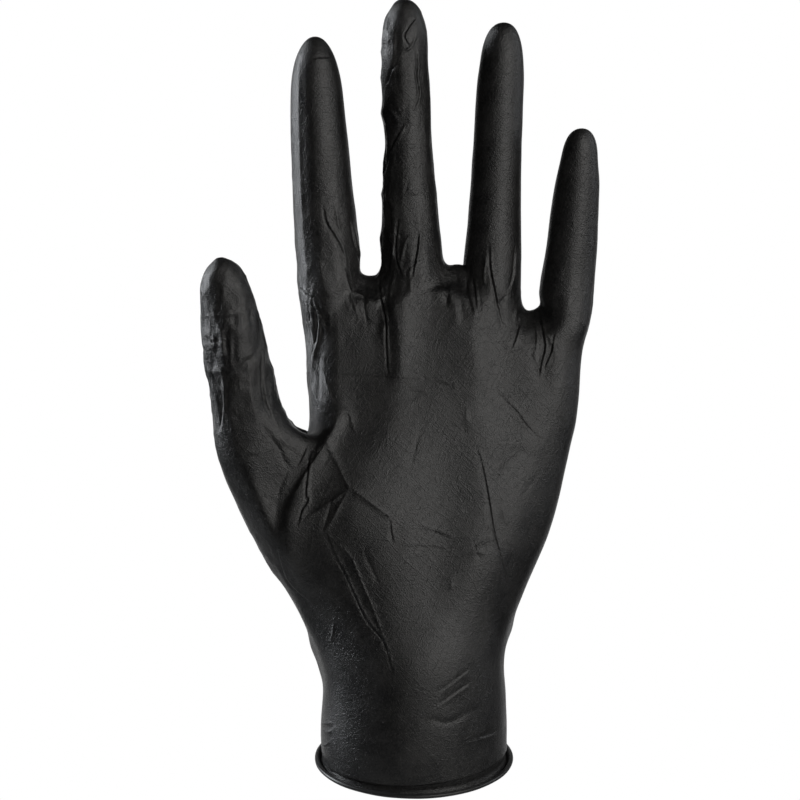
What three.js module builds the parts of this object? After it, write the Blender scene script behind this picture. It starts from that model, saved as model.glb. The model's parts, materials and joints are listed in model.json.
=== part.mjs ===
// A disposable dipped glove, the left one of a pair, filled out and upright, with the palm to the front.
// It is one film: palm, thumb, four fingers and a short cuff, with the edge of the cuff rolled to a bead.
// The origin is the middle of the cuff's mouth. +Z runs up the palm to the fingertips, -Y is the palm's
// side and -X is the thumb's side. The cuff leans back from the palm.
import * as THREE from 'three';

// The film and its rolled edge, in millimetres.
const wall = 1.0;
const beadDiameter = 1.5;
const beadGap = 0.3;

// The cuff, in millimetres and degrees.
const mouthDiameter = 55.4;
const cuffHeight = 31;
const cuffLean = 17.5;
const lipFlare = 0.6;
const ledgeStep = 0.4;

// The wrist and the palm.
const wristWidth = 53.8;
const wristDepth = 45;
const palmWidth = 84;
const palmDepth = 27;
const palmLength = 117.5;
const palmShift = 10;
const knuckleDrop = 11;
const thumbRootReach = 18;
const thenarBulge = 4.2;
const thumbShoulder = 5;
const heelBulge = 2.2;
const palmHollow = 0.4;
const valleyDepth = 1.4;

// The fingers. root is the middle of the finger's root as a share of palmWidth from the palm's own middle,
// lean is its angle to the little finger's side, and bow and curl are how far it arches to the side and to
// the front.
const fingers = [
  { name: 'index', root: -0.416, width: 19.6, depth: 18.2, length: 70.5, lean: -3.8, bow: -0.8, curl: 3 },
  { name: 'middle', root: -0.125, width: 20.8, depth: 18.4, length: 79.1, lean: -1.8, bow: -0.3, curl: 2 },
  { name: 'ring', root: 0.158, width: 18.8, depth: 17.4, length: 72.2, lean: 2.8, bow: 0, curl: 3 },
  { name: 'little', root: 0.419, width: 17, depth: 15.8, length: 53.1, lean: 5.2, bow: 0.4, curl: 5 },
];

// The thumb. reach and rise place the middle of its root from the wrist's middle.
const thumb = { width: 20, depth: 18.5, length: 51.1, lean: -9.8, reach: 47.8, rise: 70, forward: 9 };

// Where the webs between the fingers lie below or above palmLength, as shares of palmLength, from the
// thumb's side.
const webs = [
  { place: 'beside the index finger', rise: -0.064 },
  { place: 'index to middle', rise: -0.008 },
  { place: 'middle to ring', rise: 0.014 },
  { place: 'ring to little', rise: -0.096 },
  { place: 'beside the little finger', rise: -0.12 },
];

// The cuff's sections from the mouth to the wrist: height as a share of cuffHeight, girth as a share of the
// way from the mouth's size to the wrist's, and flare and step as shares of lipFlare and ledgeStep.
const cuffSections = [
  { height: 0, girth: 0, flare: 1, step: 0 },
  { height: 0.07, girth: 0.01, flare: 0.15, step: 0 },
  { height: 0.145, girth: 0.02, flare: 0, step: 1 },
  { height: 0.42, girth: 0.17, flare: 0, step: 0.8 },
  { height: 0.73, girth: 0.58, flare: 0, step: 0.4 },
];

// The palm's sections from the wrist to the knuckles. height is a share of the way up, spread and slim are
// shares of the way from the wrist's size to the palm's, and root and gape are shares of thumbRootReach and
// of the thumb's gap.
const palmSections = [
  { height: 0, spread: 0, slim: 0, root: 0.09, gape: 0 },
  { height: 0.11, spread: 0.09, slim: 0.22, root: 0.32, gape: 0 },
  { height: 0.225, spread: 0.25, slim: 0.42, root: 0.63, gape: 0.35 },
  { height: 0.345, spread: 0.44, slim: 0.55, root: 1.03, gape: 0.9 },
  { height: 0.49, spread: 0.63, slim: 0.72, root: 1.05, gape: 1 },
  { height: 0.675, spread: 0.79, slim: 0.88, root: 0.14, gape: 0.8 },
  { height: 0.77, spread: 0.865, slim: 0.97, root: 0, gape: 0.3 },
  { height: 0.885, spread: 0.915, slim: 1.08, root: 0.03, gape: 0 },
  { height: 1, spread: 0.95, slim: 1.25, root: 0.06, gape: 0 },
];

// The relief at the same sections, as shares of thenarBulge, thumbShoulder, heelBulge, palmHollow and
// valleyDepth. The shoulder carries the palm's front on to the thumb's.
const palmRelief = [
  { height: 0, thenar: 0, shoulder: 0, heel: 0, hollow: 0, valley: 0 },
  { height: 0.11, thenar: 0.15, shoulder: 0, heel: 0.3, hollow: 0, valley: 0 },
  { height: 0.225, thenar: 0.5, shoulder: 0.3, heel: 0.8, hollow: 0.1, valley: 0 },
  { height: 0.345, thenar: 0.9, shoulder: 0.85, heel: 1, hollow: 0.5, valley: 0 },
  { height: 0.49, thenar: 1, shoulder: 1, heel: 0.7, hollow: 0.8, valley: 0 },
  { height: 0.675, thenar: 0.35, shoulder: 1, heel: 0.25, hollow: 1, valley: 0.1 },
  { height: 0.77, thenar: 0.08, shoulder: 0.45, heel: 0, hollow: 0.8, valley: 0.4 },
  { height: 0.885, thenar: 0, shoulder: 0.1, heel: 0, hollow: 0.4, valley: 0.8 },
  { height: 1, thenar: 0, shoulder: 0, heel: 0, hollow: 0, valley: 1 },
];

// Where the relief lies across the palm and how far it reaches, as shares of the palm's half width. The
// thumb's side is below 0.
const thenarPlace = { middle: -0.45, half: 0.7 };
const shoulderPlace = { middle: -0.88, half: 0.32 };
const heelPlace = { middle: 0.6, half: 0.5 };
const hollowPlace = { middle: 0.05, half: 0.6 };
const valleyReach = 0.9;

// The palm's section goes from an ellipse at the wrist to a flatter one at the knuckles.
const wristSquareness = 2;
const knuckleSquareness = 3.0;
const knuckleMargin = 2;
const gapeSqueeze = 0.88;

// A finger's root is a little deeper than the finger, and its front and back lie below the webs by the
// dip. The ring's points next to its two sides lie at 45 degrees.
const rootDepthShare = 1.04;
const rootDipShare = 0.28;
const cornerShare = Math.SQRT1_2;

// The thumb's root lies in front of the palm's middle plane by this share of palmDepth. Its tip is a little
// off centre, and the palm's sections make room for it where their gape is at least thumbOpens.
const thumbFrontShare = 0.38;
const thumbTipAcross = -0.03;
const thumbOpens = 0.85;

// The fingers' sections from the root up: along as a share of the length, and each finger's width there as a
// share of its own.
const fingerSections = [
  { along: 0, index: 1, middle: 1, ring: 1, little: 0.93 },
  { along: 0.1, index: 1, middle: 0.88, ring: 0.94, little: 0.955 },
  { along: 0.28, index: 0.958, middle: 0.77, ring: 0.83, little: 0.92 },
  { along: 0.47, index: 0.917, middle: 0.72, ring: 0.79, little: 0.87 },
  { along: 0.66, index: 0.855, middle: 0.715, ring: 0.77, little: 0.795 },
  { along: 0.81, index: 0.772, middle: 0.68, ring: 0.72, little: 0.69 },
  { along: 0.92, index: 0.58, middle: 0.575, ring: 0.6, little: 0.55 },
  { along: 0.98, index: 0.31, middle: 0.34, ring: 0.36, little: 0.32 },
];

// The thumb's sections: along as a share of its length, across and width as shares of its width, and slant
// as the rise of the section towards the palm for each millimetre across.
const thumbSections = [
  { along: -0.05, across: -0.04, width: 1.08, slant: 0.6 },
  { along: 0.16, across: -0.06, width: 1.0, slant: 0.22 },
  { along: 0.34, across: -0.065, width: 0.955, slant: 0.05 },
  { along: 0.52, across: -0.06, width: 0.935, slant: 0 },
  { along: 0.72, across: -0.06, width: 0.815, slant: 0 },
  { along: 0.86, across: -0.06, width: 0.67, slant: 0 },
  { along: 0.955, across: -0.04, width: 0.41, slant: 0 },
];

// The main folds and dents. Places are shares of palmWidth from the wrist's middle and of palmLength above
// the wrist, wide and rise are shares of palmDepth, and a rise below 0 is a dent. side is -1 at the palm and
// 1 at the back, and a fold fades out where the film turns to its other side.
const folds = [
  { at: 'ring and little web', side: -1, x0: 0.43, z0: 0.88, x1: 0.47, z1: 0.72, wide: 0.35, rise: -0.03 },
  { at: 'index and middle web', side: -1, x0: -0.14, z0: 0.95, x1: -0.1, z1: 0.75, wide: 0.35, rise: -0.025 },
  { at: 'middle and ring web', side: -1, x0: 0.17, z0: 0.96, x1: 0.21, z1: 0.8, wide: 0.4, rise: -0.02 },
  { at: 'wrist, thumb side', side: 1, x0: -0.335, z0: 0.05, x1: -0.325, z1: -0.04, wide: 0.45, rise: 0.09 },
  { at: 'wrist, back', side: 1, x0: -0.3, z0: 0.08, x1: 0.1, z1: -0.03, wide: 0.6, rise: 0.09 },
  { at: 'wrist, little side', side: 1, x0: 0, z0: 0.2, x1: 0.33, z1: 0.08, wide: 0.6, rise: 0.08 },
];
const foldFade = { from: -0.15, to: 0.45 };

const rad = THREE.MathUtils.degToRad;
const lerp = THREE.MathUtils.lerp;

// The wrist stands at the top of the cuff, and the palm's middle plane goes through its middle.
const wristHeight = cuffHeight;
const middlePlane = -cuffHeight * Math.tan(rad(cuffLean));
const mouthAxis = new THREE.Vector3(0, -Math.sin(rad(cuffLean)), Math.cos(rad(cuffLean)));

// Half a ring of the palm has three points for each finger, and one more lies at each side. A finger's ring
// and the bead's section have eight, and the cage is fitted in six rounds.
const pointsPerFinger = 3;
const frontPoints = fingers.length * pointsPerFinger;
const ringPoints = 2 * frontPoints + 2;
const fingerPoints = 8;
const beadSides = 8;
const fitPasses = 6;

// The cage: points that the smooth surface passes through, and the four-sided faces between them.
const cage = { points: [], faces: [] };

function addPoint(x, y, z) {
  cage.points.push(new THREE.Vector3(x, y, z));
  return cage.points.length - 1;
}

function joinRings(lower, upper) {
  lower.forEach((a, i) => {
    const next = (i + 1) % lower.length;
    cage.faces.push([a, lower[next], upper[next], upper[i]]);
  });
}

// The height of the web line at a front column, where column 0 is the index finger's outer one.
function webHeight(column) {
  const finger = Math.floor(column / pointsPerFinger);
  const share = (column % pointsPerFinger) / (pointsPerFinger - 1);
  return wristHeight + palmLength * (1 + lerp(webs[finger].rise, webs[finger + 1].rise, share));
}

// Where a finger's root stands, from the wrist's middle.
const rootX = (finger) => palmShift + finger.root * palmWidth;

// The x of a front column at the finger roots.
function rootColumnX(column) {
  const finger = fingers[Math.floor(column / pointsPerFinger)];
  const step = (column % pointsPerFinger) - 1;
  return rootX(finger) + step * cornerShare * finger.width / 2;
}

// A ring's points go from the thumb's side along the front to the little finger's side, and home along the
// back.
function ringColumn(k) {
  if (k === 0) return { side: 0, column: 0, edge: -1 };
  if (k <= frontPoints) return { side: -1, column: k - 1, edge: 0 };
  if (k === frontPoints + 1) return { side: 0, column: frontPoints - 1, edge: 1 };
  return { side: 1, column: ringPoints - 1 - k, edge: 0 };
}

const bump = (x, { middle, half }) => Math.max(0, 1 - ((x - middle) / half) ** 2) ** 2;

// How far across the ring a point lies, from -1 at the thumb's side to 1.
function acrossShare(k, section) {
  const angle = Math.PI + 2 * Math.PI * k / ringPoints;
  const { edge, column } = ringColumn(k);
  if (edge) return edge;
  const outside = rootColumnX(column) - palmShift;
  const atKnuckles = outside / (palmWidth / 2 + knuckleMargin);
  const share = lerp(Math.cos(angle), atKnuckles, section.height);
  return share < 0 ? share * lerp(1, gapeSqueeze, section.gape) : share;
}

function palmRing(section, row) {
  const relief = palmRelief[row];
  const middle = palmShift * section.spread * 0.5;
  const little = lerp(wristWidth / 2, palmWidth / 2 + palmShift, section.spread) - middle;
  const thumbSide = lerp(wristWidth / 2, palmWidth / 2 - palmShift, section.spread)
    + thumbRootReach * section.root + middle;
  const depth = lerp(wristDepth, palmDepth, section.slim) / 2;
  const squareness = lerp(wristSquareness, knuckleSquareness, section.height ** 2);
  return Array.from({ length: ringPoints }, (_, k) => {
    const { side, column } = ringColumn(k);
    const share = acrossShare(k, section);
    const full = (1 - Math.abs(share) ** squareness) ** (1 / squareness);
    const pads = thenarBulge * relief.thenar * bump(share, thenarPlace)
      + thumbShoulder * relief.shoulder * bump(share, shoulderPlace)
      + heelBulge * relief.heel * bump(share, heelPlace)
      - palmHollow * relief.hollow * bump(share, hollowPlace);
    const inValley = column % pointsPerFinger !== 1 && Math.abs(share) < valleyReach;
    const valley = inValley ? valleyDepth * relief.valley : 0;
    const y = side * (depth * full - valley) - (side < 0 ? pads : 0);
    const top = webHeight(column) - knuckleDrop;
    const x = middle + share * (share < 0 ? thumbSide : little);
    return addPoint(x, middlePlane + y, lerp(wristHeight, top, section.height));
  });
}

function cuffRing(section) {
  const lean = rad(cuffLean) * (1 - section.height ** 2);
  const proud = lipFlare * section.flare + ledgeStep * section.step;
  const width = lerp(mouthDiameter, wristWidth, section.girth) / 2 + proud;
  const depth = lerp(mouthDiameter, wristDepth, section.girth) / 2 + proud;
  const height = cuffHeight * section.height;
  return Array.from({ length: ringPoints }, (_, k) => {
    const angle = Math.PI + 2 * Math.PI * k / ringPoints;
    const y = depth * Math.sin(angle);
    return addPoint(
      width * Math.cos(angle),
      middlePlane * section.height + y * Math.cos(lean),
      height + y * Math.sin(lean),
    );
  });
}

// A section of a finger or the thumb: points round an ellipse, from the thumb's side along the front.
function fingerRing(middle, width, depth, slant, lean) {
  return Array.from({ length: fingerPoints }, (_, i) => {
    const angle = Math.PI + 2 * Math.PI * i / fingerPoints;
    const across = width / 2 * Math.cos(angle);
    const up = across * slant;
    return addPoint(
      middle.x + across * Math.cos(lean) + up * Math.sin(lean),
      middle.y + depth / 2 * Math.sin(angle),
      middle.z - across * Math.sin(lean) + up * Math.cos(lean),
    );
  });
}

// The round end of a finger: four faces that meet at the tip.
function closeTip(ring, tip) {
  const pole = addPoint(tip.x, tip.y, tip.z);
  for (let i = 0; i < ring.length; i += 2) {
    cage.faces.push([pole, ring[i], ring[i + 1], ring[(i + 2) % ring.length]]);
  }
}

// The ring at a finger's root. The palm's own columns carry on into it, and the two sides rise to the webs.
function rootRing(finger, index) {
  const width = finger.width * fingerSections[0][finger.name];
  const middle = new THREE.Vector3(rootX(finger), middlePlane, 0);
  const ring = fingerRing(middle, width, finger.depth * rootDepthShare, 0, 0);
  const dip = finger.depth * rootDipShare;
  ring.forEach((p, i) => {
    const across = -Math.cos(2 * Math.PI * i / fingerPoints);
    const left = webs[index].rise;
    const right = webs[index + 1].rise;
    const web = wristHeight + palmLength * (1 + lerp(left, right, (across + 1) / 2));
    const atWeb = i % (fingerPoints / 2) === 0;
    cage.points[p].z = web - (atWeb ? 0 : dip);
  });
  return ring;
}

function buildFinger(finger, index, root) {
  const lean = rad(finger.lean);
  const base = wristHeight + palmLength * (1 + (webs[index].rise + webs[index + 1].rise) / 2);
  const higher = wristHeight + palmLength * (1 + Math.max(webs[index].rise, webs[index + 1].rise));
  const top = higher + finger.length;
  const place = (along) => new THREE.Vector3(
    rootX(finger) + Math.tan(lean) * (along * finger.length) + finger.bow * Math.sin(Math.PI * along),
    middlePlane - finger.curl * along ** 2,
    lerp(base, top, along),
  );
  let ring = root;
  for (const section of fingerSections.slice(1)) {
    const share = section[finger.name];
    const next = fingerRing(place(section.along), finger.width * share, finger.depth * share, 0, 0);
    joinRings(ring, next);
    ring = next;
  }
  closeTip(ring, place(1));
}

// The thumb grows out of the gap that the palm's rings leave at the thumb's side.
function buildThumb(gap) {
  const lean = rad(thumb.lean);
  const place = (along, across) => new THREE.Vector3(
    -thumb.reach + Math.sin(lean) * along * thumb.length + Math.cos(lean) * across * thumb.width,
    middlePlane - palmDepth * thumbFrontShare - thumb.forward * along,
    wristHeight + thumb.rise + Math.cos(lean) * along * thumb.length - Math.sin(lean) * across * thumb.width,
  );
  let ring = gap;
  for (const section of thumbSections) {
    const middle = place(section.along, section.across);
    const width = thumb.width * section.width;
    const next = fingerRing(middle, width, thumb.depth * section.width, section.slant, lean);
    joinRings(ring, next);
    ring = next;
  }
  closeTip(ring, place(1, thumbTipAcross));
}

// The webs: two faces between each pair of neighbouring fingers.
function joinWebs(rootRings) {
  for (let i = 0; i + 1 < rootRings.length; i++) {
    const [left, right] = [rootRings[i], rootRings[i + 1]];
    cage.faces.push([left[3], right[1], right[0], left[4]]);
    cage.faces.push([left[4], right[0], right[7], left[5]]);
  }
}

// The palm's top ring, made of the fingers' root rings without the points inside the webs.
function topRing(rootRings) {
  const front = rootRings.flatMap((ring) => ring.slice(1, 4));
  const back = [...rootRings].reverse().flatMap((ring) => ring.slice(5, 8));
  return [rootRings[0][0], ...front, rootRings[rootRings.length - 1][4], ...back];
}

const cuffRings = cuffSections.map(cuffRing);
const palmRings = palmSections.map(palmRing);
const rootRings = fingers.map(rootRing);
const rings = [...cuffRings, ...palmRings, topRing(rootRings)];
const mouth = rings[0];

// The thumb's gap spans two steps of the palm's rings, on both sides of their first point.
const gapBottom = cuffRings.length + palmSections.findIndex((s) => s.gape >= thumbOpens);
const gapTop = gapBottom + 2;
for (let r = 0; r + 1 < rings.length; r++) {
  const inGap = r >= gapBottom && r < gapTop;
  for (let k = 0; k < ringPoints; k++) {
    const next = (k + 1) % ringPoints;
    if (inGap && (k === 0 || next === 0)) continue;
    cage.faces.push([rings[r][k], rings[r][next], rings[r + 1][next], rings[r + 1][k]]);
  }
}
const lastPoint = ringPoints - 1;
const [low, mid, high] = [rings[gapBottom], rings[gapBottom + 1], rings[gapTop]];
buildThumb([low[0], low[1], mid[1], high[1], high[0], high[lastPoint], mid[lastPoint], low[lastPoint]]);
fingers.forEach((finger, i) => buildFinger(finger, i, rootRings[i]));
joinWebs(rootRings);

// The neighbours of every point: those along an edge, those across a face, and those along the open edge.
function neighbours(mesh) {
  const edges = new Map();
  const around = mesh.points.map(() => ({ along: new Set(), across: [], border: [] }));
  for (const face of mesh.faces) {
    face.forEach((a, i) => {
      const b = face[(i + 1) % 4];
      const key = Math.min(a, b) + '_' + Math.max(a, b);
      edges.set(key, { a, b, faces: (edges.get(key)?.faces ?? 0) + 1 });
      around[a].along.add(b);
      around[b].along.add(a);
      around[a].across.push(face[(i + 2) % 4]);
    });
  }
  for (const { a, b, faces } of edges.values()) {
    if (faces > 1) continue;
    around[a].border.push(b);
    around[b].border.push(a);
  }
  return around;
}

// Where each point ends up on the smooth surface that the cage stands for. On the open edge a point counts
// four times against its two neighbours.
function smoothPlaces(mesh, around) {
  return mesh.points.map((point, i) => {
    const { along, across, border } = around[i];
    if (!along.size) return point.clone();
    const place = new THREE.Vector3();
    if (border.length) {
      border.forEach((n) => place.add(mesh.points[n]));
      return place.addScaledVector(point, 4).divideScalar(6);
    }
    const n = along.size;
    along.forEach((j) => place.addScaledVector(mesh.points[j], 4));
    across.forEach((j) => place.add(mesh.points[j]));
    return place.addScaledVector(point, n * n).divideScalar(n * (n + 5));
  });
}

// Moves the cage outwards until its smooth surface passes through the points that were given.
function fitCage(mesh) {
  const around = neighbours(mesh);
  const wanted = mesh.points.map((p) => p.clone());
  for (let pass = 0; pass < fitPasses; pass++) {
    const places = smoothPlaces(mesh, around);
    mesh.points.forEach((p, i) => p.add(wanted[i]).sub(places[i]));
  }
}

// One step of smoothing, in which each face becomes four. On the open edge a point counts six times against
// its two neighbours.
function subdivide(mesh) {
  const around = neighbours(mesh);
  const points = mesh.points.map(() => null);
  const faceMiddles = mesh.faces.map((face) => {
    const middle = new THREE.Vector3();
    face.forEach((i) => middle.addScaledVector(mesh.points[i], 0.25));
    return middle;
  });
  const edges = new Map();
  mesh.faces.forEach((face, f) => face.forEach((a, i) => {
    const b = face[(i + 1) % 4];
    const key = Math.min(a, b) + '_' + Math.max(a, b);
    if (!edges.has(key)) edges.set(key, { a, b, faces: [] });
    edges.get(key).faces.push(f);
  }));
  const touching = mesh.points.map(() => []);
  mesh.faces.forEach((face, f) => face.forEach((i) => touching[i].push(f)));
  mesh.points.forEach((point, i) => {
    const { along, border } = around[i];
    const place = new THREE.Vector3();
    if (!along.size) {
      points[i] = place.copy(point);
      return;
    }
    if (border.length) {
      border.forEach((n) => place.add(mesh.points[n]));
      points[i] = place.addScaledVector(point, 6).divideScalar(8);
      return;
    }
    const n = along.size;
    along.forEach((j) => place.addScaledVector(mesh.points[j], 1 / n).addScaledVector(point, 1 / n));
    touching[i].forEach((f) => place.addScaledVector(faceMiddles[f], 1 / n));
    points[i] = place.addScaledVector(point, n - 3).divideScalar(n);
  });
  const faceStart = points.length;
  points.push(...faceMiddles);
  for (const edge of edges.values()) {
    const middle = mesh.points[edge.a].clone().add(mesh.points[edge.b]);
    if (edge.faces.length === 2) edge.faces.forEach((f) => middle.add(faceMiddles[f]));
    edge.point = points.length;
    points.push(middle.divideScalar(edge.faces.length === 2 ? 4 : 2));
  }
  const edgePoint = (a, b) => edges.get(Math.min(a, b) + '_' + Math.max(a, b)).point;
  const faces = mesh.faces.flatMap((face, f) => face.map((a, i) => [
    a, edgePoint(a, face[(i + 1) % 4]), faceStart + f, edgePoint(face[(i + 3) % 4], a),
  ]));
  return { points, faces };
}

function pointNormals(mesh) {
  const normals = mesh.points.map(() => new THREE.Vector3());
  for (const [a, b, c, d] of mesh.faces) {
    const across = mesh.points[c].clone().sub(mesh.points[a]);
    const other = mesh.points[d].clone().sub(mesh.points[b]);
    const normal = across.cross(other);
    [a, b, c, d].forEach((i) => normals[i].add(normal));
  }
  return normals.map((n) => n.normalize());
}

// How far the folds lift the film at a point with that normal.
function foldRise(point, normal) {
  return folds.reduce((rise, fold) => {
    const facing = THREE.MathUtils.smoothstep(normal.y * fold.side, foldFade.from, foldFade.to);
    if (!facing) return rise;
    const start = new THREE.Vector2(fold.x0 * palmWidth, wristHeight + fold.z0 * palmLength);
    const run = new THREE.Vector2(fold.x1 * palmWidth, wristHeight + fold.z1 * palmLength).sub(start);
    const here = new THREE.Vector2(point.x, point.z).sub(start);
    const share = THREE.MathUtils.clamp(here.dot(run) / run.lengthSq(), 0, 1);
    const away = here.addScaledVector(run, -share).length();
    const half = fold.wide * palmDepth / 2;
    if (away >= half) return rise;
    return rise + facing * fold.rise * palmDepth * (1 + Math.cos(Math.PI * away / half)) / 2;
  }, 0);
}

// The film as one closed solid: the smooth outside, the same surface a wall's thickness inside, and the
// mouth's edge.
function filmGeometry() {
  fitCage(cage);
  const skin = subdivide(cage);
  skin.points = smoothPlaces(skin, neighbours(skin));
  const plain = pointNormals(skin);
  skin.points.forEach((p, i) => p.addScaledVector(plain[i], foldRise(p, plain[i])));

  const border = neighbours(skin).map(({ border }) => border);
  const normals = pointNormals(skin);
  const inside = skin.points.map((p, i) => {
    const inwards = normals[i];
    if (border[i].length) inwards.projectOnPlane(mouthAxis).normalize();
    return p.clone().addScaledVector(inwards, -wall);
  });
  const count = skin.points.length;
  const index = [];
  for (const [a, b, c, d] of skin.faces) {
    index.push(a, b, c, a, c, d);
    index.push(count + a, count + c, count + b, count + a, count + d, count + c);
  }
  for (const [a, b, c, d] of skin.faces) {
    [[a, b], [b, c], [c, d], [d, a]].forEach(([from, to]) => {
      if (!border[from].includes(to)) return;
      index.push(from, count + from, to, to, count + from, count + to);
    });
  }
  const geometry = new THREE.BufferGeometry().setFromPoints([...skin.points, ...inside]);
  geometry.setIndex(index);
  geometry.computeVertexNormals();
  return geometry;
}

const film = new THREE.MeshStandardMaterial({ color: 0x1a1a1b, roughness: 0.48, metalness: 0 });
const rolled = new THREE.MeshStandardMaterial({ color: 0x171718, roughness: 0.42, metalness: 0 });

// The whole dipped film.
function gloveShell() {
  const mesh = new THREE.Mesh(filmGeometry(), film);
  mesh.name = 'glove_shell';
  return mesh;
}

// The film's edge, rolled up round the outside of the mouth. It stands on the mouth's plane, which leans as
// the cuff does.
function rolledBead() {
  const radius = mouthDiameter / 2 + lipFlare + beadGap + beadDiameter / 2;
  const ring = new THREE.TorusGeometry(radius, beadDiameter / 2, beadSides, 2 * ringPoints);
  const mesh = new THREE.Mesh(ring, rolled);
  mesh.name = 'rolled_bead';
  mesh.rotation.x = rad(cuffLean);
  mesh.position.copy(mouthAxis).multiplyScalar(beadDiameter / 2);
  return mesh;
}

const glove = new THREE.Group();
glove.add(gloveShell(), rolledBead());

export default glove;
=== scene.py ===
import itertools
import json
import math

import bmesh
import bpy
import numpy as np
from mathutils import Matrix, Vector


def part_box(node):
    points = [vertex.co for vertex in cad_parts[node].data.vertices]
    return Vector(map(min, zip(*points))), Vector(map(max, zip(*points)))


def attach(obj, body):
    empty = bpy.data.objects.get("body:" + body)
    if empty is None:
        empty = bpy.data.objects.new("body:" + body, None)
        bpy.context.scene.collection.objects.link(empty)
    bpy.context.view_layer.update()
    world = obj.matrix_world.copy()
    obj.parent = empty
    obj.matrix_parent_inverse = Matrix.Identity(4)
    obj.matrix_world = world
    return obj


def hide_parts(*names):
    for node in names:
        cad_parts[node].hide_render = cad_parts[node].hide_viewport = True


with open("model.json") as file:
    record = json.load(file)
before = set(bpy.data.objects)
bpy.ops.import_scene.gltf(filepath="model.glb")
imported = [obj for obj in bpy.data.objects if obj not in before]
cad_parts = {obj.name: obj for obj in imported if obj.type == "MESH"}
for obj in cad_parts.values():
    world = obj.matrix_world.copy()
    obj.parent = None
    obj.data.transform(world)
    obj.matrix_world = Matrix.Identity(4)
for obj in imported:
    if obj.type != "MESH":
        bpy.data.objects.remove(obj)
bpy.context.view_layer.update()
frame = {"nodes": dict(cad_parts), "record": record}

# The picture
# A dipped glove stands upright with its palm to the camera, about a metre away, in front of a white
# ground. The camera is level with the middle of the glove, and the picture is square.
picture = 800
millimetre = 0.001
palm_plane = -8.3 * millimetre
picture_width = 240.8 * millimetre
picture_middle = Vector((-4.214, 0, 108.962)) * millimetre
camera_distance = 1.05
camera_data = bpy.data.cameras.new("palm_camera")
camera_data.sensor_width = 36
camera_data.lens = camera_data.sensor_width * camera_distance / picture_width
camera_data.clip_end = 20
camera = bpy.data.objects.new("palm_camera", camera_data)
camera.location = (picture_middle.x, palm_plane - camera_distance, picture_middle.z)
camera.rotation_euler = (math.pi / 2, 0, 0)
bpy.context.scene.collection.objects.link(camera)
bpy.context.scene.camera = camera
bpy.context.scene.view_settings.view_transform = "Standard"
pixel = picture_width / picture

# The film
# One skin of black rubber, about a tenth of a millimetre thick, dipped on a glove mould. It was stripped
# off, packed flat and filled out again, so it carries the sharp creases of the packing and soft folds.
film_wall = 0.8 * millimetre
shell = frame["nodes"]["glove_shell"]
mouth = frame["record"]["mounts"][0]
mouth_axis = Vector(mouth["axis"])
rim_slack = 0.05 * millimetre
same_point = 0.01 * millimetre

skin = bmesh.new()
skin.from_mesh(shell.data)
bmesh.ops.remove_doubles(skin, verts=skin.verts, dist=same_point)
rim_faces = [f for f in skin.faces if all(abs(v.co.dot(mouth_axis)) < rim_slack for v in f.verts)]
bmesh.ops.delete(skin, geom=rim_faces, context="FACES_ONLY")
outside, waiting = set(), [max(skin.verts, key=lambda v: v.co.z)]
while waiting:
    vertex = waiting.pop()
    if vertex in outside:
        continue
    outside.add(vertex)
    waiting.extend(e.other_vert(vertex) for e in vertex.link_edges)
bmesh.ops.delete(skin, geom=[v for v in skin.verts if v not in outside], context="VERTS")
flat_enough = math.radians(70)
bmesh.ops.join_triangles(
    skin, faces=skin.faces, angle_face_threshold=flat_enough, angle_shape_threshold=flat_enough)
bmesh.ops.recalc_face_normals(skin, faces=skin.faces)


# The points of a skin, and its faces as rows of point numbers.
def skin_rows(mesh):
    mesh.verts.index_update()
    points = np.array([v.co for v in mesh.verts])
    faces = [[v.index for v in f.verts] for f in mesh.faces]
    return points, faces


def mesh_object(name, points, faces):
    data = bpy.data.meshes.new(name)
    data.from_pydata([tuple(p) for p in points], [], faces)
    data.update()
    piece = bpy.data.objects.new(name, data)
    bpy.context.scene.collection.objects.link(piece)
    return piece


# The mesh that a piece has with its modifiers applied, in place of its own.
def apply_modifiers(piece):
    bpy.context.view_layer.update()
    shaped = bpy.data.meshes.new_from_object(piece.evaluated_get(bpy.context.evaluated_depsgraph_get()))
    piece.modifiers.clear()
    piece.data = shaped


def subdivided(name, points, faces, levels):
    piece = mesh_object(name, points, faces)
    smoother = piece.modifiers.new("smooth", "SUBSURF")
    smoother.levels = levels
    smoother.use_limit_surface = True
    smoother.boundary_smooth = "ALL"
    apply_modifiers(piece)
    return piece


def read_points(piece):
    flat = np.empty(3 * len(piece.data.vertices))
    piece.data.vertices.foreach_get("co", flat)
    return flat.reshape(-1, 3)


def write_points(piece, points):
    piece.data.vertices.foreach_set("co", points.ravel())
    piece.data.update()


def read_normals(piece):
    flat = np.empty(3 * len(piece.data.vertices))
    piece.data.vertex_normals.foreach_get("vector", flat)
    return flat.reshape(-1, 3)


# The smooth skin runs through the solid's own points: the corners that are smoothed move out by what they lose.
skin_points, skin_faces = skin_rows(skin)
skin.free()
corners = skin_points.copy()
fit_passes = 2
for _ in range(fit_passes):
    trial = subdivided("trial", corners, skin_faces, levels=1)
    corners += skin_points - read_points(trial)[:len(corners)]
    bpy.data.objects.remove(trial)
film = subdivided("film", corners, skin_faces, levels=3)


# Uneven values from -1 to 1 that change smoothly in space, with that many metres between highs and lows.
# Each corner of a grid of cells gets one of the random values, picked by its place times large factors.
value_count = 4096
corner_factors = np.array([73856093, 19349663, 83492791])


def uneven(points, size, seed):
    values = np.random.default_rng(seed).uniform(-1, 1, value_count)
    cell = np.floor(points / size).astype(np.int64)
    part = points / size - cell
    ease = part * part * (3 - 2 * part)
    total = np.zeros(len(points))
    for corner in itertools.product((0, 1), repeat=3):
        mixed = (cell + np.array(corner)) * corner_factors
        key = (mixed[:, 0] ^ mixed[:, 1] ^ mixed[:, 2]) % value_count
        total += values[key] * np.prod(np.where(corner, ease, 1 - ease), axis=1)
    return total


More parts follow.
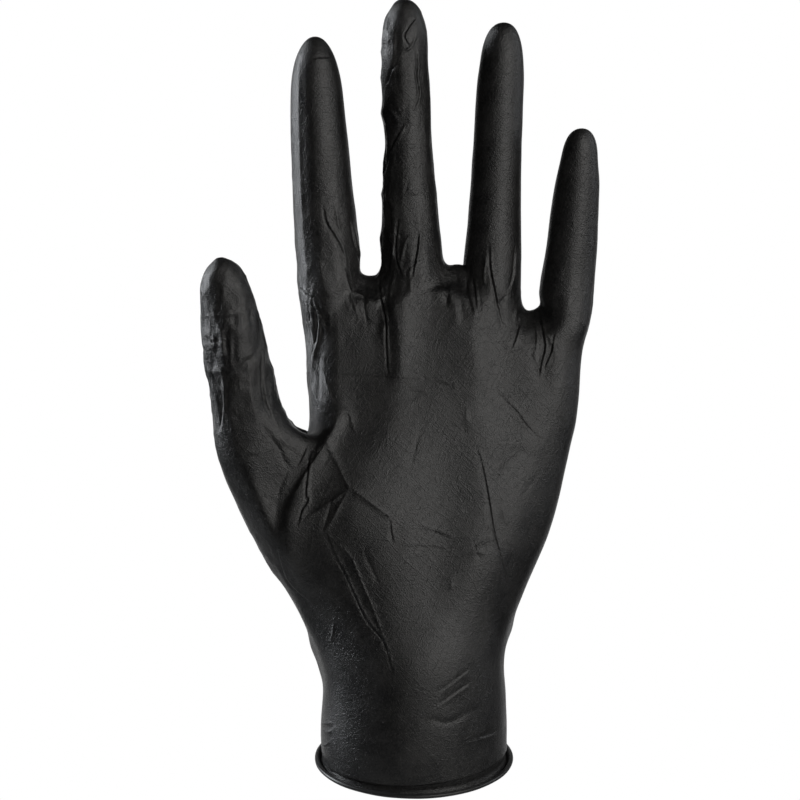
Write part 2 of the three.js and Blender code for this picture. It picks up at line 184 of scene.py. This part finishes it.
def smooth_step(value, low, high):
    share = np.clip((value - low) / (high - low), 0, 1)
    return share * share * (3 - 2 * share)


# Where a point shows in the picture, in pixels from its left and from its top.
def in_picture(points):
    depth = points[:, 1] - camera.location.y
    size = camera_distance / pixel / depth
    across = picture / 2 + (points[:, 0] - camera.location.x) * size
    down = picture / 2 - (points[:, 2] - camera.location.z) * size
    return np.column_stack([across, down])


# A smooth line through a few points, with a point at about each pixel.
def line_through(points):
    points = np.array(points, float)
    ends = np.vstack([2 * points[0] - points[1], points, 2 * points[-1] - points[-2]])
    line = []
    for a, b, c, d in zip(ends, ends[1:], ends[2:], ends[3:]):
        steps = max(2, int(np.linalg.norm(c - b)))
        for t in np.arange(steps) / steps:
            line.append(0.5 * (2 * b + (c - a) * t + (2 * a - 5 * b + 4 * c - d) * t ** 2
                               + (3 * b - a - 3 * c + d) * t ** 3))
    return np.array(line + [points[-1]])


# How much a crease lifts the film at a distance across it. The distance is in the crease's own widths, and
# positive on the right of the way it runs. A ridge stands up, a dent sinks, a pleat sinks and stands up
# beside that, and a tuck dips on its left and stands up on its right, where it fades slowly.
profiles = {
    "ridge": lambda d: np.exp(-d ** 2),
    "dent": lambda d: -np.exp(-d ** 2),
    "pleat": lambda d: 0.8 * np.exp(-(d - 1.1) ** 2) - np.exp(-(d + 0.3) ** 2),
    "tuck": lambda d: np.where(d > 0, np.exp(-d / 2.2), np.exp(d * 1.5)) * np.tanh(d * 2.5),
}
creases = []


# Width and lift are in millimetres, and the points are the pixels where the crease shows in the picture.
def crease(kind, width, lift, *points):
    creases.append((kind, width, lift, line_through(points)))


# The long crease below the gap of the first two fingers, and the pleats below the other gaps.
crease("pleat", 0.39, 0.45, (380, 276), (381, 299), (385.6, 322), (386, 340), (388, 374))
crease("pleat", 0.42, 0.45, (539, 313), (543.8, 337.8), (544.5, 349), (541, 363), (539, 377))
crease("ridge", 0.42, 0.3, (545, 331.6), (553, 345), (556, 357.7))
crease("dent", 0.42, 0.25, (531, 347), (532, 358), (538, 369), (540, 376))
crease("dent", 0.85, 0.3, (455, 268), (458, 290), (463, 318))
crease("ridge", 0.56, 0.25, (447, 262), (449, 284), (455, 310))
crease("pleat", 0.49, 0.25, (466, 270), (468, 292), (474, 316))
crease("dent", 0.35, 0.2, (445.8, 295), (447, 304))

# The crease across the palm where the glove was folded in its box, and the lines beside it.
crease("tuck", 0.28, 0.16, (335, 374), (364, 375.6), (385, 376.7), (409, 378.5), (432, 379.6))
crease("dent", 0.28, 0.12, (422, 375), (425, 380))
crease("tuck", 0.28, 0.14, (434, 381), (443, 383), (450, 386))
crease("ridge", 0.28, 0.1, (452, 380), (455, 389))
crease("tuck", 0.28, 0.12, (411, 390.5), (430, 393))
crease("ridge", 0.35, 0.1, (401, 408), (416, 401), (427, 395), (438, 400), (449, 405))
crease("dent", 0.42, 0.16, (422, 425), (417, 440), (415, 450), (408, 471))
crease("tuck", 0.35, 0.16, (495, 387), (509, 403), (517, 411), (527, 425), (537.6, 435), (547, 442))
crease("ridge", 0.28, 0.12, (550, 386), (560.5, 389))

# The folds of the ball of the thumb: a bright ridge that branches over the palm.
crease("ridge", 0.32, 0.29, (323, 371), (329, 392), (333, 404))
crease("ridge", 0.32, 0.26, (341, 409), (349, 413.5), (355, 432))
crease("ridge", 0.35, 0.44, (324, 434), (330, 450), (338, 465), (349, 488))
crease("ridge", 0.32, 0.39, (346, 485), (361.7, 496), (377.8, 507.6), (391.5, 518))
crease("ridge", 0.32, 0.39, (350, 488), (335, 499.5), (313.5, 514), (302, 522.5))
crease("ridge", 0.32, 0.34, (350, 489), (341, 503), (334, 517), (326, 530.5), (323, 534))
crease("dent", 0.42, 0.31, (332, 501), (326, 520), (321.5, 532))
crease("pleat", 0.35, 0.34, (326, 532), (332, 548), (337.6, 560), (345.6, 575), (352.5, 590), (366, 619),
       (383.5, 642), (392.7, 671))
crease("ridge", 0.32, 0.26, (327, 533), (341, 546.6), (351, 557), (358, 573), (364, 588), (372, 606), (380, 628),
       (388, 645))
crease("pleat", 0.39, 0.39, (310, 453.5), (306.8, 481), (305.6, 495), (308, 500.5), (302, 510), (297.6, 526))
crease("pleat", 0.28, 0.34, (390.4, 521), (391.5, 531.7), (393.8, 542.6))
crease("dent", 0.28, 0.13, (387, 530.5), (367, 544), (351, 554.6))
crease("dent", 0.35, 0.21, (365, 549), (366, 558), (372, 569.5), (379, 585.6))

# The folds that run into the palm from the thumb's root.
crease("dent", 0.49, 0.45, (263, 426), (269, 435), (279, 449), (285, 462.7), (291.8, 470.7))
crease("ridge", 0.42, 0.39, (280, 437), (287, 444), (298.7, 449))
crease("pleat", 0.35, 0.29, (305.6, 449), (298.7, 466))
crease("dent", 0.42, 0.31, (288, 470.7), (280, 488), (279, 497))
crease("ridge", 0.28, 0.2, (224, 446.6), (229.8, 439.7))
crease("ridge", 0.28, 0.16, (225, 459), (232, 460))
crease("tuck", 0.35, 0.21, (234, 457), (248, 455), (263, 453.5))
crease("tuck", 0.35, 0.18, (250.5, 493.6), (262, 496), (273.5, 498))
crease("pleat", 0.42, 0.39, (276.7, 545), (279, 560), (283.6, 574), (290.5, 585.6), (302, 597), (309, 601.7))
crease("ridge", 0.35, 0.26, (334, 622), (332, 641))

# The little finger's side of the palm: one long dark line, a soft hollow, and a star of short creases.
crease("ridge", 0.28, 0.2, (467.5, 408), (466, 418), (471, 424))
crease("dent", 0.28, 0.16, (462, 425), (466, 435))
crease("pleat", 0.28, 0.31, (476, 447), (481, 460), (486, 483), (489.5, 503), (495, 535), (503, 562.7),
       (508.5, 589))
crease("ridge", 0.28, 0.18, (501.6, 503), (504.5, 518), (508, 526))
crease("dent", 1.19, 0.33, (495, 475), (498.5, 465), (508, 455), (520, 451), (531, 456))
crease("dent", 0.35, 0.13, (539, 473), (519, 501))
crease("ridge", 0.28, 0.31, (475.8, 546.6), (489.5, 539.7), (495, 538.5))
crease("ridge", 0.28, 0.31, (466.6, 555), (475.8, 552), (485, 553.5))
crease("dent", 0.28, 0.18, (473, 543), (476, 551), (481, 560))
crease("tuck", 0.28, 0.21, (420.7, 527), (436.7, 531.7), (450.5, 537.4), (466.6, 537.4))
crease("tuck", 0.28, 0.18, (400, 545.4), (428.7, 546), (437.9, 547.7), (464, 549))
crease("ridge", 0.28, 0.18, (451, 578.7), (452, 589))

# The first finger: long folds that run up it from the palm.
crease("pleat", 0.42, 0.33, (323.6, 205), (326, 221), (334, 235), (342, 250), (345, 265))
crease("ridge", 0.35, 0.26, (335, 205), (338.5, 223.5), (342, 237))
crease("ridge", 0.42, 0.33, (344, 267), (349, 288), (358, 316.5))
crease("pleat", 0.35, 0.33, (299.5, 288), (309.8, 297), (313, 296))
crease("pleat", 0.35, 0.29, (307.6, 299), (310, 322))
crease("tuck", 0.42, 0.2, (334, 58.5), (323, 58), (313, 58.5))
crease("ridge", 0.63, 0.33, (299, 66), (299, 120), (301, 180), (304, 240), (309, 286))
crease("pleat", 0.4, 0.39, (350, 219), (356, 245), (364, 270))
crease("ridge", 0.35, 0.26, (319, 315), (323, 325), (328, 335))
crease("pleat", 0.35, 0.33, (306, 318), (312, 336), (313, 362))
crease("pleat", 0.4, 0.39, (312, 300), (317, 318), (316, 340), (310, 362))
crease("ridge", 0.35, 0.29, (352, 292), (366, 298), (372, 306))
crease("dent", 0.4, 0.29, (366, 284), (364, 306), (368, 326))

# The second finger: short crossing creases from the tip down, and folds at its base.
crease("pleat", 0.4, 0.45, (399, 219), (396, 240), (396, 257), (402.6, 277))
crease("pleat", 0.4, 0.45, (418.7, 231.6), (417, 250), (412, 277))
crease("tuck", 0.4, 0.39, (386, 196), (391, 206), (392, 226))
crease("pleat", 0.4, 0.45, (387, 232), (391, 250), (389, 268))
crease("ridge", 0.35, 0.39, (388, 101), (392, 112), (399, 122))
crease("tuck", 0.4, 0.33, (385, 118), (396, 112), (406, 108))
crease("pleat", 0.32, 0.34, (415.5, 18), (406, 32), (405, 38), (410, 46))
crease("ridge", 0.32, 0.31, (416.6, 34), (413, 43.6), (408.6, 49), (397, 55))
crease("pleat", 0.35, 0.34, (416.6, 49), (417.8, 64), (416.6, 76), (419, 95), (413, 112.5))
crease("pleat", 0.35, 0.34, (397, 63), (390, 74.6), (384.5, 86))
crease("pleat", 0.42, 0.39, (404, 124), (391, 149), (384.5, 172))
crease("tuck", 0.35, 0.26, (405, 196), (418, 194), (431.5, 192.5))
crease("dent", 0.35, 0.31, (396, 230), (401.7, 237), (409.7, 235))
crease("ridge", 0.42, 0.36, (406, 239.5), (402.8, 253), (400.5, 265))
crease("pleat", 0.35, 0.34, (423.5, 257), (412, 266), (406, 274))
crease("ridge", 0.42, 0.39, (394.8, 274), (391, 288), (390, 302.7))

# The third finger: smooth, with a few folds at its base.
crease("pleat", 0.4, 0.36, (473.5, 277), (475, 292), (476.8, 309))
crease("pleat", 0.4, 0.39, (489.7, 244.5), (490, 266), (493, 283), (502.6, 328))
crease("dent", 0.5, 0.33, (470, 258), (468, 280), (464, 300))
crease("pleat", 0.35, 0.39, (520, 318.7), (517, 334), (512, 347.7))
crease("pleat", 0.35, 0.39, (554, 334.8), (551, 352), (544.5, 367))
crease("ridge", 0.3, 0.33, (533, 318), (537, 334), (536, 352))
crease("ridge", 0.35, 0.36, (485.6, 256.6), (484, 279.6), (488.7, 285.7))
crease("dent", 0.42, 0.36, (507, 295), (498, 305.6))
crease("pleat", 0.35, 0.31, (516, 246), (513, 276.5), (507, 292))
crease("ridge", 0.35, 0.26, (519, 299.5), (514.7, 322))

# The thumb: rings of stretch across it and short wrinkles down its outer side.
crease("ridge", 0.42, 0.21, (201.7, 316.5), (217, 315), (240, 314))
crease("pleat", 0.35, 0.21, (206.8, 338), (212, 342), (218, 340.8))
crease("dent", 1.02, 0.39, (255, 352), (241, 367.6), (231, 380))
crease("pleat", 0.42, 0.34, (213, 378), (222, 393), (223, 406), (221, 421), (218, 434))
crease("ridge", 0.32, 0.23, (234.8, 408), (237, 416))
crease("pleat", 0.42, 0.33, (261.6, 355), (264, 393), (269, 412), (277, 429))

# The cuff: slanting lines of stretch, short ticks, and a shallow wave.
crease("pleat", 0.35, 0.26, (469, 670), (453, 682), (438, 693))
crease("pleat", 0.35, 0.26, (470.4, 683), (453, 695), (436.7, 706.5))
crease("dent", 0.85, 0.26, (422, 727), (430.8, 719.7), (448.4, 722.7), (466, 714), (474.8, 708))
crease("pleat", 0.35, 0.23, (499.8, 728.6), (492, 734), (466, 742))
crease("ridge", 0.28, 0.29, (317, 723.4), (332.5, 723.4))
crease("ridge", 0.28, 0.26, (322, 729), (328, 732), (335.5, 729))
crease("ridge", 0.28, 0.26, (318, 737), (317, 740), (319, 742.5))
crease("ridge", 0.28, 0.26, (319, 741.8), (324.5, 745.4), (329.6, 741.8))

# The ledge above the rolled edge, where the film is doubled. It stands out a little, and its height, in
# millimetres above the mouth, is less at the left and at the back.
ledge_middle, ledge_to_right, ledge_to_front = 2.9, 1.4, 0.7


def ledge_height(points):
    turn = np.arctan2(points[:, 0], -points[:, 1])
    return (ledge_middle + ledge_to_right * np.sin(turn) + ledge_to_front * np.cos(turn)) * millimetre


# The film has finer faces where a crease or the ledge runs. They are marked on a map of the picture with a
# margin of spare pixels round it.
fine_widths = 2.6
fine_pixels = 1.5
ledge_reach = 0.9 * millimetre
map_margin = 30
map_width = picture + 2 * map_margin
plain = read_points(film)
seen_at = in_picture(plain)
fine_map = np.zeros((map_width, map_width), bool)
for kind, width, lift, line in creases:
    reach = int(round(fine_pixels + fine_widths * width * millimetre / pixel))
    for x, y in line.astype(int) + map_margin:
        fine_map[y - reach:y + reach + 1, x - reach:x + reach + 1] = True
cell = np.clip(seen_at.round().astype(int) + map_margin, 0, map_width - 1)
facing_front = read_normals(film)[:, 1] < 0.2
above_mouth = -plain @ np.array(mouth_axis)
fine = fine_map[cell[:, 1], cell[:, 0]] & facing_front
fine |= np.abs(above_mouth - ledge_height(plain)) < ledge_reach
refined = bmesh.new()
refined.from_mesh(film.data)
refined.faces.ensure_lookup_table()
face_points = np.empty(4 * len(film.data.polygons), int)
film.data.polygons.foreach_get("vertices", face_points)
wanted_faces = np.flatnonzero(fine[face_points.reshape(-1, 4)].any(axis=1))
wanted_edges = {e for i in wanted_faces for e in refined.faces[i].edges}
bmesh.ops.subdivide_edges(refined, edges=list(wanted_edges), cuts=1, use_grid_fill=True)
refined.to_mesh(film.data)
refined.free()

# Each crease lifts or sinks the film where it faces the camera, and does nothing past this many widths.
crease_reach = 5.5
plain = read_points(film)
outwards = read_normals(film)
seen_at = in_picture(plain)
to_camera = np.array(camera.location) - plain
to_camera /= np.linalg.norm(to_camera, axis=1)[:, None]
facing = np.sum(outwards * to_camera, axis=1)
palm_side = smooth_step(facing, 0.0, 0.25)
rise = np.zeros(len(plain))
per_millimetre = pixel / millimetre
for kind, width, lift, line in creases:
    reach = crease_reach * width / per_millimetre
    low, high = line.min(0) - reach, line.max(0) + reach
    near = np.flatnonzero((palm_side > 0) & np.all((seen_at > low) & (seen_at < high), axis=1))
    if not len(near):
        continue
    here = seen_at[near]
    nearest = np.argmin(np.sum((here[:, None, :] - line[None, :, :]) ** 2, axis=2), axis=1)
    along = np.gradient(line, axis=0)
    along /= np.linalg.norm(along, axis=1)[:, None] + 1e-9
    gap = here - line[nearest]
    away = np.linalg.norm(gap, axis=1) * per_millimetre / width
    right = along[nearest, 1] * gap[:, 0] - along[nearest, 0] * gap[:, 1]
    share = nearest / (len(line) - 1)
    fade = np.sin(np.pi * np.clip(share, 0.02, 0.98)) ** 0.5
    beyond = (nearest == 0) | (nearest == len(line) - 1)
    fade = np.where(beyond, fade * np.exp(-away ** 2), fade)
    rise[near] += palm_side[near] * fade * lift * millimetre * profiles[kind](np.sign(right) * away)

# The crumple that no single crease carries: sharp little facets on the fingers and at the gaps, and soft
# waves on the palm and the back.
lengthwise = plain * np.array([1, 1, 0.4])
height = plain[:, 2]
facets = (0.5 - np.abs(uneven(lengthwise, 5 * millimetre, 11))
          - 0.5 * np.abs(uneven(lengthwise, 2.4 * millimetre, 12))
          - 0.25 * np.abs(uneven(lengthwise, 1.3 * millimetre, 15)))
waves = uneven(plain, 13 * millimetre, 13) + 0.5 * uneven(plain, 6 * millimetre, 14)
across_picture, down_picture = seen_at.T


# Shares from 0 to 1 that tell where a point shows in the picture, with the pixels where each share is full
# and where it has come to nothing, or its middle and how far it reaches.
def left_of(full, nothing):
    return smooth_step(-across_picture, -nothing, -full)


def right_of(nothing, full):
    return smooth_step(across_picture, nothing, full)


def higher_than(full, nothing):
    return smooth_step(-down_picture, -nothing, -full)


def level_with(middle, reach):
    return np.exp(-((down_picture - middle) / reach) ** 2)


above_knuckles = smooth_step(height, 0.118, 0.15)
first_finger = above_knuckles * left_of(360, 372)
second_finger = above_knuckles * right_of(372, 380) * left_of(446, 458)
thumb_side = left_of(285, 300) * higher_than(400, 470)
near_gaps = level_with(300, 35)
crumpled_edge = second_finger * left_of(385, 405)
wrist_side = left_of(270, 300) * level_with(560, 60)
palm_edge = left_of(312, 335) * level_with(370, 60)
thumb_edge = left_of(212, 235) * level_with(395, 60)
strength = (0.04 + 0.25 * first_finger * smooth_step(down_picture, 120, 220) + 0.25 * second_finger
            + 0.75 * crumpled_edge + 0.2 * thumb_side + 0.3 * thumb_edge + 0.35 * near_gaps
            + 0.8 * palm_edge + 0.35 * wrist_side)
rise += facets * strength * millimetre
rise += waves * (0.14 + 0.1 * (1 - palm_side)) * millimetre


# How much a fold lifts the film on the back of the glove. It runs between two points, across and up.
# All of its numbers are in millimetres.
def back_fold(width, lift, start, end):
    start, end = np.array(start) * millimetre, np.array(end) * millimetre
    here = plain[:, [0, 2]] - start
    run = end - start
    share = np.clip(here @ run / (run @ run), 0, 1)
    away = np.linalg.norm(here - share[:, None] * run, axis=1) / (width * millimetre)
    behind = smooth_step(outwards[:, 1], -0.1, 0.4)
    fade = np.sin(np.pi * np.clip(share, 0.06, 0.94)) ** 0.5
    return behind * np.exp(-away ** 2) * lift * millimetre * fade


wrist_folds = [
    (1.6, 0.9, (-29, 38), (-4, 31)),
    (1.4, 0.8, (-30, 43), (-8, 37)),
    (1.5, 0.8, (2, 44), (27, 37)),
    (1.2, 0.6, (6, 36), (26, 31)),
    (1.4, -0.5, (-22, 47), (10, 42)),
]
knuckle_folds = [
    (1.8, 0.4, (-24, 118), (-22, 146)),
    (1.8, 0.4, (0, 120), (0, 150)),
    (1.8, 0.4, (24, 120), (26, 148)),
    (1.6, 0.35, (44, 112), (48, 136)),
]
gap_folds = [
    (1.1, 0.35, (-18, 148), (-12, 128)),
    (1.1, 0.35, (12, 150), (14, 128)),
    (1.1, 0.35, (36, 138), (34, 120)),
]
for width, lift, start, end in wrist_folds + knuckle_folds + gap_folds:
    rise += back_fold(width, lift, start, end)

# The film drops in below the ledge and flares out again to its rolled edge. The lift and the drop are in
# millimetres.
ledge_lift, ledge_drop = 0.16, 0.2
ledge_swell = 1.5 * millimetre
above_mouth = -plain @ np.array(mouth_axis)
ledge_at = ledge_height(plain)
ledge_edge = 0.22 * millimetre
below_ledge = 1 - smooth_step(above_mouth, ledge_at - ledge_edge, ledge_at + ledge_edge)
above_ledge = np.exp(-((above_mouth - ledge_at) / ledge_swell) ** 2) * (1 - below_ledge)
rise *= smooth_step(above_mouth, 0.8 * millimetre, 2.0 * millimetre)
rim_fade = smooth_step(above_mouth, 0, 1.2 * millimetre)
rise += (ledge_lift * above_ledge - ledge_drop * below_ledge) * rim_fade * millimetre

write_points(film, plain + outwards * rise[:, None])
outside_triangles = 154000
thin_out = film.modifiers.new("fewer_faces", "DECIMATE")
thin_out.ratio = outside_triangles / sum(len(f.vertices) - 2 for f in film.data.polygons)
apply_modifiers(film)

# The inside of the film is smooth, and joins the outside at the mouth.
inside = subdivided("inside", corners, skin_faces, levels=1)
inside_points = read_points(inside)
inside_faces = [list(reversed(f.vertices)) for f in inside.data.polygons]
inside_points -= read_normals(inside) * film_wall
bpy.data.objects.remove(inside)
outside_points = read_points(film)
outside_faces = [list(f.vertices) for f in film.data.polygons]
outside_count = len(outside_points)
whole = bmesh.new()
for point in np.vstack([outside_points, inside_points]):
    whole.verts.new(point)
whole.verts.ensure_lookup_table()
for face in outside_faces:
    whole.faces.new([whole.verts[i] for i in face])
for face in inside_faces:
    whole.faces.new([whole.verts[i + outside_count] for i in face])
open_edges = [e for e in whole.edges if e.is_boundary]
bmesh.ops.bridge_loops(whole, edges=open_edges)
bmesh.ops.recalc_face_normals(whole, faces=whole.faces)
for face in whole.faces:
    face.smooth = True
film_data = bpy.data.meshes.new("film")
whole.to_mesh(film_data)
whole.free()
film.data = film_data


# Shader nodes are set up by their kind, their plain settings and what feeds their sockets.
def add_node(tree, kind, inputs=None, **settings):
    node = tree.nodes.new(kind)
    for name, value in settings.items():
        setattr(node, name, value)
    for name, value in (inputs or {}).items():
        if isinstance(value, bpy.types.NodeSocket):
            tree.links.new(value, node.inputs[name])
        else:
            node.inputs[name].default_value = value
    return node


# The grain of dipped rubber: fine pits, and hairlines that cross each other. The bloom is the dusty look of
# the film, in soft patches and specks. The film and its rolled edge each have their own size and strength.
hairline_width = 0.03
hairline_length = 7
grain = bpy.data.node_groups.new("rubber_grain", "ShaderNodeTree")
grain.interface.new_socket("Size", in_out="INPUT", socket_type="NodeSocketFloat")
grain.interface.new_socket("Height", in_out="OUTPUT", socket_type="NodeSocketFloat")
grain.interface.new_socket("Bloom", in_out="OUTPUT", socket_type="NodeSocketFloat")
grain_in = grain.nodes.new("NodeGroupInput")
grain_out = grain.nodes.new("NodeGroupOutput")
place = add_node(grain, "ShaderNodeTexCoord").outputs["Object"]
sized = add_node(
    grain, "ShaderNodeVectorMath", {0: place, "Scale": grain_in.outputs["Size"]}, operation="SCALE")
scaled = sized.outputs["Vector"]
cross = add_node(grain, "ShaderNodeTexVoronoi", {"Vector": scaled, "Scale": 1.1}, feature="DISTANCE_TO_EDGE")
dust = add_node(grain, "ShaderNodeTexNoise", {"Vector": scaled, "Scale": 1.3, "Detail": 4.0, "Roughness": 0.6})
height = add_node(grain, "ShaderNodeMath", {
    0: cross.outputs["Distance"], 1: 0.5, 2: dust.outputs["Fac"]}, operation="MULTIPLY_ADD").outputs[0]
for turn, size, depth in ((0.55, 0.22, 0.22), (-0.8, 0.17, 0.2), (1.45, 0.2, 0.2)):
    drawn_out = add_node(grain, "ShaderNodeMapping", {
        "Vector": scaled, "Rotation": (0, turn, 0), "Scale": (1, 1, hairline_length)}, vector_type="TEXTURE")
    streaks = add_node(grain, "ShaderNodeTexNoise", {
        "Vector": drawn_out.outputs["Vector"], "Scale": size, "Detail": 2.0})
    level = add_node(grain, "ShaderNodeMath", {0: streaks.outputs["Fac"], 1: 0.5}, operation="SUBTRACT")
    away = add_node(grain, "ShaderNodeMath", {0: level.outputs[0]}, operation="ABSOLUTE")
    line = add_node(grain, "ShaderNodeMapRange", {
        "Value": away.outputs[0], "From Min": 0.0, "From Max": hairline_width,
        "To Min": depth, "To Max": 0.0})
    height = add_node(grain, "ShaderNodeMath", {0: height, 1: line.outputs["Result"]}, operation="ADD").outputs[0]
patches = add_node(
    grain, "ShaderNodeTexNoise", {"Vector": scaled, "Scale": 0.06, "Detail": 4.0, "Roughness": 0.62})
specks = add_node(
    grain, "ShaderNodeTexNoise", {"Vector": scaled, "Scale": 0.9, "Detail": 3.0, "Roughness": 0.7})
bloom_sum = add_node(grain, "ShaderNodeMath", {
    0: patches.outputs["Fac"], 1: specks.outputs["Fac"]}, operation="ADD")
bloom_half = add_node(grain, "ShaderNodeMath", {0: bloom_sum.outputs[0], 1: 0.5}, operation="MULTIPLY")
grain.links.new(height, grain_out.inputs["Height"])
grain.links.new(bloom_half.outputs[0], grain_out.inputs["Bloom"])


# Rubber whose colour and roughness go from one value to the other while the bloom goes from low to high.
bloom_low, bloom_high = 0.4, 0.6


def rubber(name, dark, light, rough_low, rough_high, grain_size, grain_depth, grain_strength):
    made = bpy.data.materials.new(name)
    made.use_nodes = True
    tree = made.node_tree
    surface = tree.nodes["Principled BSDF"]
    surface.inputs["Metallic"].default_value = 0
    surface.inputs["IOR"].default_value = 1.5
    texture = add_node(tree, "ShaderNodeGroup", node_tree=grain)
    texture.inputs["Size"].default_value = grain_size
    bloom = texture.outputs["Bloom"]
    tone = add_node(tree, "ShaderNodeMapRange", {
        "Value": bloom, "From Min": bloom_low, "From Max": bloom_high, "To Min": 0.0, "To Max": 1.0})
    colour = add_node(tree, "ShaderNodeMix", {"Factor": tone.outputs["Result"]}, data_type="RGBA")
    colour.inputs[6].default_value = (*dark, 1)
    colour.inputs[7].default_value = (*light, 1)
    tree.links.new(colour.outputs[2], surface.inputs["Base Color"])
    rough = add_node(tree, "ShaderNodeMapRange", {
        "Value": bloom, "From Min": bloom_low, "From Max": bloom_high,
        "To Min": rough_low, "To Max": rough_high})
    tree.links.new(rough.outputs["Result"], surface.inputs["Roughness"])
    bump = add_node(tree, "ShaderNodeBump", {
        "Height": texture.outputs["Height"], "Distance": grain_depth, "Strength": grain_strength})
    tree.links.new(bump.outputs["Normal"], surface.inputs["Normal"])
    return made


film_finish = rubber(
    "black_film", dark=(0.004, 0.004, 0.0043), light=(0.019, 0.0185, 0.018),
    rough_low=0.33, rough_high=0.44, grain_size=1800, grain_depth=0.00013, grain_strength=1.0)
film.data.materials.append(film_finish)
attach(film, "root")
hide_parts("glove_shell")

# The rolled edge
# The film's own edge, rolled up on itself round the mouth of the cuff until it makes a cord a millimetre
# and a half thick. It keeps the mouth open, and the end of the roll is a fine groove round its outside.
bead_low, bead_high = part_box("rolled_bead")
bead_radius = 0.75 * millimetre
bead_turn = (bead_high.x - bead_low.x) / 2 - bead_radius
bead_sides = 28
bead_steps = 360
neck_width = 1.2 * millimetre
neck_height = 0.45 * millimetre
neck_foot = 0.02 * millimetre
roll_start, roll_sweep = -125, 290
roll_fullness = 0.96
groove_depth = 0.16
groove_width = 14
up = -mouth_axis
sideways = Vector((1, 0, 0))
forwards = sideways.cross(up)
bead_points, bead_faces = [], []
for step in range(bead_steps):
    turn = 2 * math.pi * step / bead_steps
    out = math.cos(turn) * sideways + math.sin(turn) * forwards
    swell = 1 + 0.04 * math.sin(5 * turn + 1) + 0.03 * math.sin(13 * turn + 2)
    groove_at = 70 + 12 * math.sin(3 * turn + 0.8)
    section = []
    for side in range(bead_sides):
        degrees = roll_start + roll_sweep * side / (bead_sides - 1)
        groove = groove_depth * math.exp(-((degrees - groove_at) / groove_width) ** 2)
        radius = bead_radius * min(1.0, roll_fullness * swell) * (1 - groove)
        angle = math.radians(degrees)
        section.append((radius * math.cos(angle), radius * math.sin(angle)))
    section.append((-neck_width, neck_height - bead_radius))
    section.append((-neck_width, neck_foot - bead_radius))
    for outer, high in section:
        bead_points.append(out * (bead_turn + outer) + up * (bead_radius + high))
    ring = len(section)
    a, b = step * ring, (step + 1) % bead_steps * ring
    for side in range(ring):
        other = (side + 1) % ring
        bead_faces.append([a + side, b + side, b + other, a + other])
bead = mesh_object("rolled_edge", bead_points, bead_faces)
bead_shape = bmesh.new()
bead_shape.from_mesh(bead.data)
bmesh.ops.recalc_face_normals(bead_shape, faces=bead_shape.faces)
for face in bead_shape.faces:
    face.smooth = True
bead_shape.to_mesh(bead.data)
bead_shape.free()
bead_finish = rubber(
    "rolled_film", dark=(0.011, 0.011, 0.0115), light=(0.016, 0.016, 0.016),
    rough_low=0.36, rough_high=0.46, grain_size=1600, grain_depth=0.00005, grain_strength=0.35)
bead.data.materials.append(bead_finish)
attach(bead, "root")
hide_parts("rolled_bead")

# The studio
# A round pale floor below the glove, a large soft light to the right of the camera, a tall narrow one at
# the left, a little behind the glove, and a weak one at its right. The ground behind shows as plain white
# and shines round the edges of the fingers.
floor_height = -0.4
floor_radius = 0.55
floor_points = [(floor_radius * math.cos(a), floor_radius * math.sin(a), floor_height)
                for a in np.linspace(0, 2 * math.pi, 96, endpoint=False)]
floor = mesh_object("floor", floor_points, [list(range(96))])
floor_paint = bpy.data.materials.new("pale_floor")
floor_paint.use_nodes = True
floor_surface = floor_paint.node_tree.nodes["Principled BSDF"]
floor_surface.inputs["Base Color"].default_value = (0.62, 0.62, 0.61, 1)
floor_surface.inputs["Roughness"].default_value = 0.7
floor.data.materials.append(floor_paint)


def soft_light(name, width, height, power, tint, place, aim):
    lamp = bpy.data.lights.new(name, "AREA")
    lamp.color = tint
    lamp.shape = "RECTANGLE"
    lamp.size, lamp.size_y = width, height
    lamp.energy = power
    stand = bpy.data.objects.new(name, lamp)
    stand.location = place
    stand.rotation_euler = (Vector(aim) - Vector(place)).to_track_quat("-Z", "Y").to_euler()
    bpy.context.scene.collection.objects.link(stand)


glove_middle = (0, 0, 0.11)
soft_light("large_softbox", 1.1, 1.2, 12.8, (1.0, 0.985, 0.96), (0.75, -1.2, 0.43), glove_middle)
soft_light("left_strip", 0.22, 0.8, 12, (0.93, 0.96, 1.0), (-1.0, 0.27, 0.45), glove_middle)
soft_light("right_fill", 0.4, 1.0, 3.0, (0.95, 0.97, 1.0), (1.05, 0.1, 0.5), glove_middle)

world = bpy.data.worlds.new("white_ground")
bpy.context.scene.world = world
world.use_nodes = True
sky = world.node_tree
sky.nodes.clear()
sky_place = add_node(sky, "ShaderNodeTexCoord").outputs["Generated"]
direction = add_node(sky, "ShaderNodeSeparateXYZ", {"Vector": sky_place})
ground = add_node(sky, "ShaderNodeMapRange", {
    "Value": direction.outputs["Y"], "From Min": 0.72, "From Max": 0.98, "To Min": 0.012, "To Max": 0.8})
ground.interpolation_type = "SMOOTHSTEP"
seen = add_node(sky, "ShaderNodeLightPath").outputs["Is Camera Ray"]
brightness = add_node(sky, "ShaderNodeMix", {0: seen, 2: ground.outputs["Result"], 3: 1.0}, data_type="FLOAT")
shine = add_node(sky, "ShaderNodeBackground", {"Strength": brightness.outputs[0]})
shine.inputs["Color"].default_value = (1, 1, 1, 1)
sky_out = sky.nodes.new("ShaderNodeOutputWorld")
sky.links.new(shine.outputs["Background"], sky_out.inputs["Surface"])

for piece in (film, bead):
    triangles = sum(len(f.vertices) - 2 for f in piece.data.polygons)
    print(piece.name, "has", triangles, "triangles")
